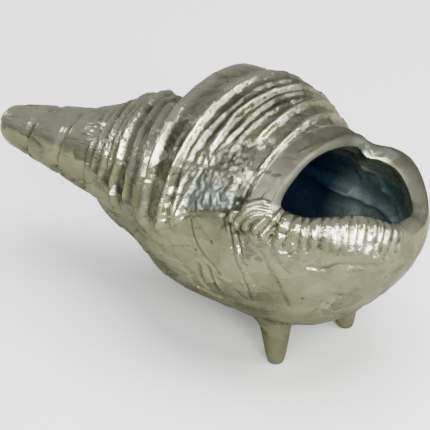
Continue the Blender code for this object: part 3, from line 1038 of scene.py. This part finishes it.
def lip_relief(lip, around, share):
    """Relief and masks of the lip; share is how far round it each point lies."""
    points = lip.reshape(-1, 3)
    bars = lip_bars(points)[0].reshape(share.shape)
    fade = smooth_step(*BAR_LIP_FADE, share)
    lumpy = smooth_step(*LUMPS_START, around) * smooth_step(*LUMPS_END, around)
    lumps = rumple(points, LUMP_SIZE, 2).reshape(share.shape) * LUMP_HEIGHT * lumpy
    relief = BAR_HEIGHT * bars * fade + waves(points).reshape(share.shape) + lumps * np.sin(math.pi * share)
    matte = np.maximum(smooth_step(*MATTE_PAST, around), smooth_step(*MATTE_BEFORE, around))
    bared = lumpy * smooth_step(*BARED_SPAN, share)
    # Painted shade round the near corner of the lip, and in the gaps between bars
    corner = CORNER_SHADE * smooth_step(*CORNER_ACROSS, share) * smooth_step(*CORNER_ROUND, around)
    return relief, {
        "tarnish_and_shade": np.maximum(gap_shade(bars) * fade, corner),
        "matte": matte * (1 - BARED_SHARE * bared),
        "patina": bared,
    }


def hollow_relief(hollow, start, inner_edge):
    """Relief and masks of the wall inside; start is how far the relief has come in."""
    points = hollow.reshape(-1, 3)
    lumps = sum(rumple(points, size, 2) * height for size, height in HOLLOW_LUMPS)
    worn = np.zeros(len(points))
    for (height, width), line in FOLDS:
        off, _ = nearest_on_line(points, np.array(line) * MM)
        fold = bell(off, width * MM)
        lumps += height * MM * fold
        worn = np.maximum(worn, fold)
    # Paler film on the folds: wear, and painted light on their crests and on the far floor
    worn *= FOLD_WEAR_AND_LIGHT + WEAR_PATCHES * rumple(points, WEAR_SIZE, 2)
    shape = hollow.shape[:2]
    return lumps.reshape(shape) * start, {
        "patina": np.clip(worn, 0, 1).reshape(shape),
        # Painted shade, black towards the back of the cavity
        "deep_shade": smooth_step(*DEEP_SHADE_FROM, hollow[..., 0]),
        "inside": smooth_step(*FILM_START, np.linalg.norm(hollow - inner_edge, axis=-1)),
    }


def relief_of(grid, zones, values, sizes):
    """Relief of every point, and the masks that the metal's finish follows."""
    shape = grid.shape[:2]
    angle = np.broadcast_to(column_angles(), shape)
    value = np.broadcast_to(values[:, None], shape)
    outer, lip, inside = zones <= BROW, zones == LIP, zones > LIP

    skin, column = grid[outer], angle[outer]
    last_ring = skin_point(LAST_STATION + ring_lean(LAST_STATION, column), column)
    lead = np.linalg.norm(skin - last_ring, axis=-1)
    on_brow = zones[outer][:, None] == BROW
    station = np.where(on_brow, LAST_STATION + lead, value[outer])
    start = np.where(zones == THROAT, smooth_step(*HOLLOW_START, values), 1.0)[inside, None]

    relief = np.zeros(shape)
    masks = {name: np.zeros(shape) for name in MASKS}
    for rows, (heights, found) in (
        (outer, skin_relief(skin, station, column, np.where(on_brow, value[outer], 0.0), sizes)),
        (lip, lip_relief(grid[lip], angle[lip] % math.tau, value[lip])),
        (inside, hollow_relief(grid[inside], start, grid[lip][-1])),
    ):
        relief[rows] = heights
        for name, mask in found.items():
            masks[name][rows] = mask
    return relief, masks


def spin_tube(ring_count):
    """Closed straight tube along X with a ring at every whole number, its ends on the axis."""
    bm = bmesh.new()
    profile = [bm.verts.new((0.0, 0.0, 0.0))]
    profile += [bm.verts.new((float(ring), 0.0, 1.0)) for ring in range(1, ring_count - 1)]
    profile.append(bm.verts.new((float(ring_count - 1), 0.0, 0.0)))
    edges = [bm.edges.new(pair) for pair in zip(profile, profile[1:])]
    bmesh.ops.spin(
        bm,
        geom=profile + edges,
        axis=(1.0, 0.0, 0.0),
        cent=(0.0, 0.0, 0.0),
        angle=math.tau,
        steps=COLUMNS,
        use_merge=True,
    )
    bmesh.ops.remove_doubles(bm, verts=bm.verts, dist=MERGE_WITHIN)
    return bm


def shell_origin():
    """Where the widest section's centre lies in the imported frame."""
    low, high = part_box(NODE)
    return Vector((low.x - APEX_X, (low.y + high.y) / 2 + CENTRE_Y, low.z - SOLE_Z))


def shell_mesh(sizes):
    """The shell's wall as a closed mesh with its masks as point attributes."""
    grid, zones, values = base_grid(sizes)
    relief, masks = relief_of(grid, zones, values, sizes)
    points = grid + grid_normals(grid) * relief[..., None]
    points[0] = points[0].mean(axis=0)
    points[-1] = points[-1].mean(axis=0)
    points += np.array(shell_origin())

    bm = spin_tube(len(zones))
    layers = {name: bm.verts.layers.float.new(name) for name in masks}
    for vert in bm.verts:
        ring = round(vert.co.x)
        even = math.atan2(-vert.co.y, vert.co.z) % math.tau
        column = round(even * COLUMNS / math.tau) % COLUMNS
        vert.co = points[ring, column]
        for name, layer in layers.items():
            vert[layer] = masks[name][ring, column]
    bmesh.ops.recalc_face_normals(bm, faces=bm.faces)
    return bm


def foot_rings(centre, tree, sizes):
    """Rings of one foot, from its sole up into the wall, as points round its axis."""
    turns = np.arange(FOOT_SIDES) * math.tau / FOOT_SIDES
    ahead = np.stack([np.cos(turns), np.sin(turns)], 1)

    def skin_height(radius):
        """Height of the shell's underside at this radius, or at one radius for each side."""
        heights = []
        for reach, (c, s) in zip(np.broadcast_to(radius, FOOT_SIDES), ahead):
            start = Vector((centre.x + reach * c, centre.y + reach * s, UNDER_FLOOR))
            heights.append(tree.ray_cast(start, Vector((0, 0, 1)))[0].z)
        return np.array(heights)

    rings = [(sizes.sole_radius * share, height * MM) for share, height in SOLE_EDGE]
    sole, low = rings[-1]
    root = sizes.root_radius
    flare = sizes.foot_flare * (FLARE_AHEAD + (FLARE_BEHIND - FLARE_AHEAD) * (1 - ahead[:, 0]) / 2)
    start = skin_height(root) - flare
    for share in np.arange(1, PEG_RINGS + 1) / PEG_RINGS:
        rings.append((sole + (root - sole) * share**PEG_SWELL, low + (start - low) * share))
    bend, outer = root + FLARE_CORNER * flare, root + flare
    corner, far = skin_height(bend), skin_height(outer) + FLARE_SINK
    for share in np.arange(1, FLARE_RINGS + 1) / FLARE_RINGS:
        first, middle, last = (1 - share) ** 2, 2 * share * (1 - share), share**2
        radius = first * root + middle * bend + last * outer
        rings.append((radius, first * start + middle * corner + last * far))
    for share in CLOSING_SHARES:
        rings.append((outer * share, skin_height(outer * share) + CLOSING_HEIGHT))
    return [
        np.stack(np.broadcast_arrays(centre.x + r * ahead[:, 0], centre.y + r * ahead[:, 1], z), 1)
        for r, z in rings
    ]


def add_foot(bm, centre, tree, sizes):
    """A peg foot with a flat sole whose root flares into the shell."""
    made = []
    for ring in foot_rings(centre, tree, sizes):
        verts = [bm.verts.new(point) for point in ring]
        edges = [bm.edges.new((a, b)) for a, b in zip(verts, verts[1:] + verts[:1])]
        made.append((verts, edges))
    for (_, lower), (_, upper) in zip(made, made[1:]):
        bmesh.ops.bridge_loops(bm, edges=lower + upper)
    for verts, _ in (made[0], made[-1]):
        bmesh.ops.poke(bm, faces=[bm.faces.new(verts)])


def foot_centres():
    """Middle of each foot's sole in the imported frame."""
    return [
        Vector(mount["pos_m"]) for mount in frame["record"]["mounts"] if mount["name"].endswith("_sole")
    ]


def add_object(name, bm):
    """Put the mesh in the scene, smoothly shaded, as an object of this name."""
    mesh = bpy.data.meshes.new(name)
    bm.to_mesh(mesh)
    bm.free()
    mesh.shade_smooth()
    obj = bpy.data.objects.new(name, mesh)
    bpy.context.scene.collection.objects.link(obj)
    return obj


def opaque(colour):
    """The colour with full alpha."""
    return (*colour, 1.0)


class Nodes:
    """Shader nodes of a material or world. A value given to one is another's output or a constant."""

    def __init__(self, owner):
        owner.use_nodes = True
        self.tree = owner.node_tree

    def link(self, value, socket):
        """Feed a socket from another node, or set it to a constant."""
        if isinstance(value, bpy.types.NodeSocket):
            self.tree.links.new(value, socket)
        else:
            socket.default_value = value

    def operation(self, kind, name, first, second):
        """A maths or vector maths node of two values."""
        node = self.tree.nodes.new(kind)
        node.operation = name
        self.link(first, node.inputs[0])
        self.link(second, node.inputs[1])
        return node

    def add(self, first, second, clamp=False):
        """Sum of two values, held between 0 and 1 if asked."""
        node = self.operation("ShaderNodeMath", "ADD", first, second)
        node.use_clamp = clamp
        return node.outputs[0]

    def times(self, first, second):
        """Product of two values."""
        return self.operation("ShaderNodeMath", "MULTIPLY", first, second).outputs[0]

    def vector(self, name, first, second):
        """Result of a vector operation, a number for a dot product or a length."""
        node = self.operation("ShaderNodeVectorMath", name, first, second)
        return node.outputs["Value" if name in ("DOT_PRODUCT", "LENGTH") else "Vector"]

    def split(self, vector):
        """X, Y and Z of a vector."""
        node = self.tree.nodes.new("ShaderNodeSeparateXYZ")
        self.link(vector, node.inputs[0])
        return node.outputs

    def mix(self, share, first, second):
        """Colour this share of the way from the first to the second."""
        node = self.tree.nodes.new("ShaderNodeMix")
        node.data_type = "RGBA"
        for index, value in ((0, share), (6, first), (7, second)):
            self.link(value, node.inputs[index])
        return node.outputs[2]

    def noise(self, where, scale, detail, roughness):
        """Cloudy noise, with about this many clouds to the metre."""
        node = self.tree.nodes.new("ShaderNodeTexNoise")
        for name, value in zip(("Vector", "Scale", "Detail", "Roughness"), (where, scale, detail, roughness)):
            self.link(value, node.inputs[name])
        return node.outputs["Fac"]

    def ramp(self, value, low, high, to_low=0.0, to_high=1.0):
        """The value carried from one range to another and held there."""
        node = self.tree.nodes.new("ShaderNodeMapRange")
        self.link(value, node.inputs["Value"])
        for name, number in (("From Min", low), ("From Max", high), ("To Min", to_low), ("To Max", to_high)):
            self.link(number, node.inputs[name])
        return node.outputs["Result"]

    def coordinates(self, kind):
        """Texture coordinates of this kind."""
        return self.tree.nodes.new("ShaderNodeTexCoord").outputs[kind]

    def attribute(self, name):
        """A mask of the mesh."""
        node = self.tree.nodes.new("ShaderNodeAttribute")
        node.attribute_name = name
        return node.outputs["Fac"]

    def facets(self, where, scale):
        """Height in metres of flat facets at random tilts, this many to the metre, and their tone."""
        cells = self.tree.nodes.new("ShaderNodeTexVoronoi")
        self.link(scale, cells.inputs["Scale"])
        self.link(where, cells.inputs["Vector"])
        away = self.vector("SUBTRACT", where, cells.outputs["Position"])
        tilt = self.vector("SUBTRACT", cells.outputs["Color"], (0.5, 0.5, 0.5))
        return self.vector("DOT_PRODUCT", away, tilt), self.split(tilt)["X"]


def cast_metal(colours):
    """White casting metal: bright on worn ridges, brown in the recesses with tarnish and painted shade,
    blue-black inside with painted shade at the back and paler folds that are worn and painted lit.
    """
    material = bpy.data.materials.new("cast_metal")
    nodes = Nodes(material)
    shader = nodes.tree.nodes["Principled BSDF"]
    where = nodes.coordinates("Object")
    cloud, grain = nodes.noise(where, *CLOUDS), nodes.noise(where, *GRAIN)
    tarnish_and_shade, worked, inside, deep_shade, patina, matte = [nodes.attribute(name) for name in MASKS]

    plain = nodes.ramp(matte, *FLAT_FADE)
    flats, tone = nodes.facets(nodes.vector("MULTIPLY", where, FLAT_STRETCH), FLATS)
    # Darkening towards the tarnish colour: tarnish and painted shade from the mask, clouds of tarnish, the
    # flats' tone, the matt skin and speckle
    darkening = nodes.add(tarnish_and_shade, nodes.times(nodes.ramp(cloud, *CLOUD_SPAN), CLOUD_DIRT))
    darkening = nodes.add(darkening, nodes.times(nodes.times(tone, plain), FLAT_DIRT))
    darkening = nodes.add(darkening, nodes.times(matte, MATTE_DIRT))
    speckle = nodes.times(nodes.ramp(grain, *SPECKLE_SPAN), worked)
    darkening = nodes.add(darkening, nodes.times(speckle, SPECKLE_DIRT), clamp=True)
    metal = nodes.mix(darkening, opaque(colours.metal), opaque(colours.tarnish))
    aged = nodes.times(patina, nodes.ramp(cloud, *PATINA_CLOUDS))
    metal = nodes.mix(aged, metal, opaque(colours.patina))
    # Paler film inside: wear and painted light on the folds, and clouds of wear
    worn = nodes.add(patina, nodes.ramp(cloud, *WEAR_CLOUDS), clamp=True)
    film = nodes.mix(worn, opaque(colours.hollow), opaque(colours.hollow_wear_and_light))
    # Painted shade: the film turns blue-black at the back of the cavity
    film = nodes.mix(deep_shade, film, opaque(colours.depth))
    nodes.link(nodes.mix(inside, metal, film), shader.inputs["Base Color"])
    nodes.link(nodes.ramp(inside, 0.0, 1.0, *METALLIC), shader.inputs["Metallic"])
    rough = nodes.add(nodes.ramp(darkening, 0.0, 1.0, *ROUGHNESS), nodes.ramp(grain, *GRAIN_ROUGHNESS))
    rough = nodes.add(rough, nodes.times(matte, MATTE_ROUGHNESS))
    rough = nodes.add(rough, nodes.times(inside, HOLLOW_ROUGHNESS))
    nodes.link(rough, shader.inputs["Roughness"])

    struck = nodes.times(nodes.facets(where, DENTS)[0], worked)
    height = nodes.add(nodes.times(struck, DENT_DEPTH), nodes.times(nodes.times(flats, plain), FLAT_DEPTH))
    height = nodes.add(height, nodes.times(grain, GRAIN_HEIGHT))
    bump = nodes.tree.nodes.new("ShaderNodeBump")
    bump.inputs["Distance"].default_value = 1.0
    bump.inputs["Strength"].default_value = 1.0
    nodes.link(height, bump.inputs["Height"])
    nodes.link(bump.outputs["Normal"], shader.inputs["Normal"])
    return material


def floor_material(colour_seen, colour_reflected):
    """Pale floor that the camera sees paler than the metal does: the metal sees a darker copy, painted shade,
    with a painted shadow under the shell and painted light to the right.
    """
    material = bpy.data.materials.new("floor")
    nodes = Nodes(material)
    shader = nodes.tree.nodes["Principled BSDF"]
    seen = nodes.tree.nodes.new("ShaderNodeLightPath").outputs["Is Camera Ray"]
    where = nodes.coordinates("Object")
    # Painted shadow under the shell and painted light to the right, seen only in the metal
    under = nodes.ramp(nodes.vector("LENGTH", where, where), *FLOOR_UNDER)
    across = nodes.ramp(nodes.vector("DOT_PRODUCT", where, FLOOR_SIDE), *FLOOR_ACROSS)
    dull = nodes.mix(nodes.times(under, across), opaque((0, 0, 0)), opaque(colour_reflected))
    nodes.link(nodes.mix(seen, dull, opaque(colour_seen)), shader.inputs["Base Color"])
    shader.inputs["Roughness"].default_value = FLOOR_ROUGHNESS
    shader.inputs["Specular IOR Level"].default_value = FLOOR_SHINE
    return material


def studio_walls():
    """World of pale walls, dimmer at the back, with a dark band low on the left."""
    world = bpy.data.worlds.new("studio")
    nodes = Nodes(world)
    background = nodes.tree.nodes["Background"]
    background.inputs["Color"].default_value = WALL_COLOUR
    where = nodes.coordinates("Generated")
    level = nodes.ramp(nodes.split(where)["Z"], *BAND_HEIGHT)
    band = nodes.times(level, nodes.ramp(nodes.vector("DOT_PRODUCT", where, BAND_SIDE), *BAND_WIDTH))
    strength = nodes.ramp(nodes.vector("DOT_PRODUCT", where, WALL_BACK), *WALL_STRENGTH)
    strength = nodes.times(strength, nodes.ramp(band, 0.0, 1.0, 1.0, 0.0))
    nodes.link(strength, background.inputs["Strength"])
    return world


def length_setting(name, description, default):
    """A length that the panel shows, in metres."""
    return bpy.props.FloatProperty(
        name=name, description=description, default=default, unit="LENGTH", precision=5, min=0.0)


def scale_setting(name, description, default):
    """A scale that the panel shows, 1 for no change."""
    return bpy.props.FloatProperty(
        name=name, description=description, default=default, min=0.0, subtype="FACTOR")


def angle_setting(name, description, degrees):
    """An angle that the panel shows."""
    return bpy.props.FloatProperty(
        name=name, description=description, default=math.radians(degrees), subtype="ANGLE", unit="ROTATION")


def colour_setting(name, description, default):
    """A colour that the panel shows."""
    return bpy.props.FloatVectorProperty(
        name=name, description=description, default=default, subtype="COLOR", size=3, min=0.0, max=1.0)


class ConchSizes(bpy.types.PropertyGroup):
    """Sizes of the casting"""

    lip_thickness: length_setting("Lip thickness", "Thickness of the lip round the mouth", 3.2 * MM)
    bead_height: length_setting(
        "Bead height", "How far the rolled bead stands out along the near lip", 1.25 * MM)
    cord_strength: scale_setting("Cord strength", "Scale of the cords' height", 1.5)
    tool_marks: scale_setting("Tool marks", "Scale of the hammer and chisel marks", 1.0)
    sole_radius: length_setting("Sole radius", "Radius of each foot's sole", 1.65 * MM)
    root_radius: length_setting("Root radius", "Radius of each foot below its flare", 3.0 * MM)
    foot_flare: length_setting("Foot flare", "Size of the fillet where a foot meets the shell", 2.8 * MM)


class ConchColours(bpy.types.PropertyGroup):
    """Colours of the metal"""

    metal: colour_setting("Metal", "Clean metal on worn ridges", (0.44, 0.435, 0.307))
    # The tarnish colour also paints the shade in the gaps between bars, round the lip's near corner and in
    # the valleys
    tarnish: colour_setting("Tarnish", "Brown tarnish in recesses", (0.09, 0.09, 0.064))
    patina: colour_setting("Patina", "Blue-grey film on the chiselled patch", (0.25, 0.31, 0.30))
    hollow: colour_setting("Hollow", "Blue-grey film inside the mouth", (0.08, 0.14, 0.14))
    # The paler film on the folds is partly wear and partly painted light
    hollow_wear_and_light: colour_setting("Hollow wear", "Paler film on the folds inside", (0.36, 0.45, 0.45))
    # The blue-black at the back of the hollow is painted shade
    depth: colour_setting("Depth", "Blue-black film at the back of the hollow", (0.007, 0.019, 0.044))


class ConchStage(bpy.types.PropertyGroup):
    """Floor and camera"""

    floor_size: length_setting("Floor size", "Side of the square floor", 6.0)
    floor_colour: colour_setting("Floor", "Colour of the floor", (0.95, 0.95, 0.945))
    # The floor as the metal sees it: a darker copy of the floor, painted shade
    floor_tone: colour_setting("Floor tone", "Colour of the floor in the metal", (0.295, 0.29, 0.235))
    camera_turn: angle_setting("Camera turn", "Turn of the camera round the shell", 30)
    camera_tilt: angle_setting("Camera tilt", "Height of the camera over the level", 33)
    camera_distance: length_setting("Camera distance", "From the lens to the widest section", 0.3)


class CONCH_OT_casting(bpy.types.Operator):
    """Build the casting: the shell and its peg feet in one mesh"""

    bl_idname = "conch.casting"
    bl_label = "Build casting"

    def execute(self, context):
        sizes = context.scene.conch_sizes
        bm = shell_mesh(sizes)
        tree = BVHTree.FromBMesh(bm)
        for centre in foot_centres():
            add_foot(bm, centre, tree, sizes)
        bmesh.ops.recalc_face_normals(bm, faces=bm.faces)
        casting = add_object("casting", bm)
        casting.data.materials.append(cast_metal(context.scene.conch_colours))
        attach(casting, "root")
        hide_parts(NODE)
        return {"FINISHED"}


def stand_round(target, obj, turn, tilt, distance):
    """Put an object round the target and facing it, turn from +X towards +Y, tilt above the level."""
    level = math.cos(tilt)
    away = Vector((level * math.cos(turn), level * math.sin(turn), math.sin(tilt)))
    obj.location = target + away * distance
    obj.rotation_euler = away.to_track_quat("Z", "Y").to_euler()
    bpy.context.scene.collection.objects.link(obj)


def add_softbox(target, name, turn, tilt, distance, size, power):
    """An area light round the target, turn and tilt in degrees."""
    light = bpy.data.lights.new(name, "AREA")
    light.shape = "RECTANGLE"
    light.size, light.size_y = size
    light.energy = power
    obj = bpy.data.objects.new(name, light)
    stand_round(target, obj, math.radians(turn), math.radians(tilt), distance)
    return obj


def add_camera(target, stage):
    """The camera, turned round the target from -Y towards +X."""
    camera = bpy.data.cameras.new("camera")
    camera.sensor_width = SENSOR
    camera.lens = SENSOR * stage.camera_distance / VIEW_WIDTH
    camera.shift_x, camera.shift_y = VIEW_SHIFT
    camera.dof.use_dof = False
    camera.clip_start = NEAR_CLIP
    obj = bpy.data.objects.new("camera", camera)
    stand_round(target, obj, stage.camera_turn - math.pi / 2, stage.camera_tilt, stage.camera_distance)
    bpy.context.scene.camera = obj


class CONCH_OT_stage(bpy.types.Operator):
    """Build the stage: pale floor, soft lights and camera"""

    bl_idname = "conch.stage"
    bl_label = "Build stage"

    def execute(self, context):
        stage = context.scene.conch_stage
        target = shell_origin()
        bm = bmesh.new()
        bmesh.ops.create_grid(bm, x_segments=1, y_segments=1, size=stage.floor_size / 2)
        floor = add_object("floor", bm)
        floor.data.materials.append(floor_material(stage.floor_colour, stage.floor_tone))
        context.scene.world = studio_walls()
        for window in WINDOWS:
            add_softbox(target, *window)
        for reflector in REFLECTORS:
            card = add_softbox(target, *reflector)
            card.visible_diffuse = False
            card.visible_camera = False
        add_softbox(target, *TOP_FILL).visible_glossy = False
        add_camera(target, stage)
        return {"FINISHED"}


class CONCH_PT_panel(bpy.types.Panel):
    """Sizes, colours and build buttons of the conch shell"""

    bl_idname = "CONCH_PT_panel"
    bl_label = "Conch shell"
    bl_space_type = "VIEW_3D"
    bl_region_type = "UI"
    bl_category = "Conch"

    def draw(self, context):
        layout = self.layout
        for group in (context.scene.conch_sizes, context.scene.conch_colours, context.scene.conch_stage):
            column = layout.column()
            for name in group.bl_rna.properties.keys():
                if name not in ("rna_type", "name"):
                    column.prop(group, name)
        for operator in (CONCH_OT_casting, CONCH_OT_stage):
            layout.operator(operator.bl_idname)


CLASSES = (ConchSizes, ConchColours, ConchStage, CONCH_OT_casting, CONCH_OT_stage, CONCH_PT_panel)


def register():
    """Register the classes and hang their settings on the scene."""
    for cls in CLASSES:
        bpy.utils.register_class(cls)
    bpy.types.Scene.conch_sizes = bpy.props.PointerProperty(type=ConchSizes)
    bpy.types.Scene.conch_colours = bpy.props.PointerProperty(type=ConchColours)
    bpy.types.Scene.conch_stage = bpy.props.PointerProperty(type=ConchStage)


def unregister():
    """Take the settings and the classes away again."""
    del bpy.types.Scene.conch_stage
    del bpy.types.Scene.conch_colours
    del bpy.types.Scene.conch_sizes
    for cls in reversed(CLASSES):
        bpy.utils.unregister_class(cls)


def main():
    """Build the casting and its stage."""
    register()
    bpy.ops.conch.casting()
    bpy.ops.conch.stage()


if __name__ == "__main__":
    main()
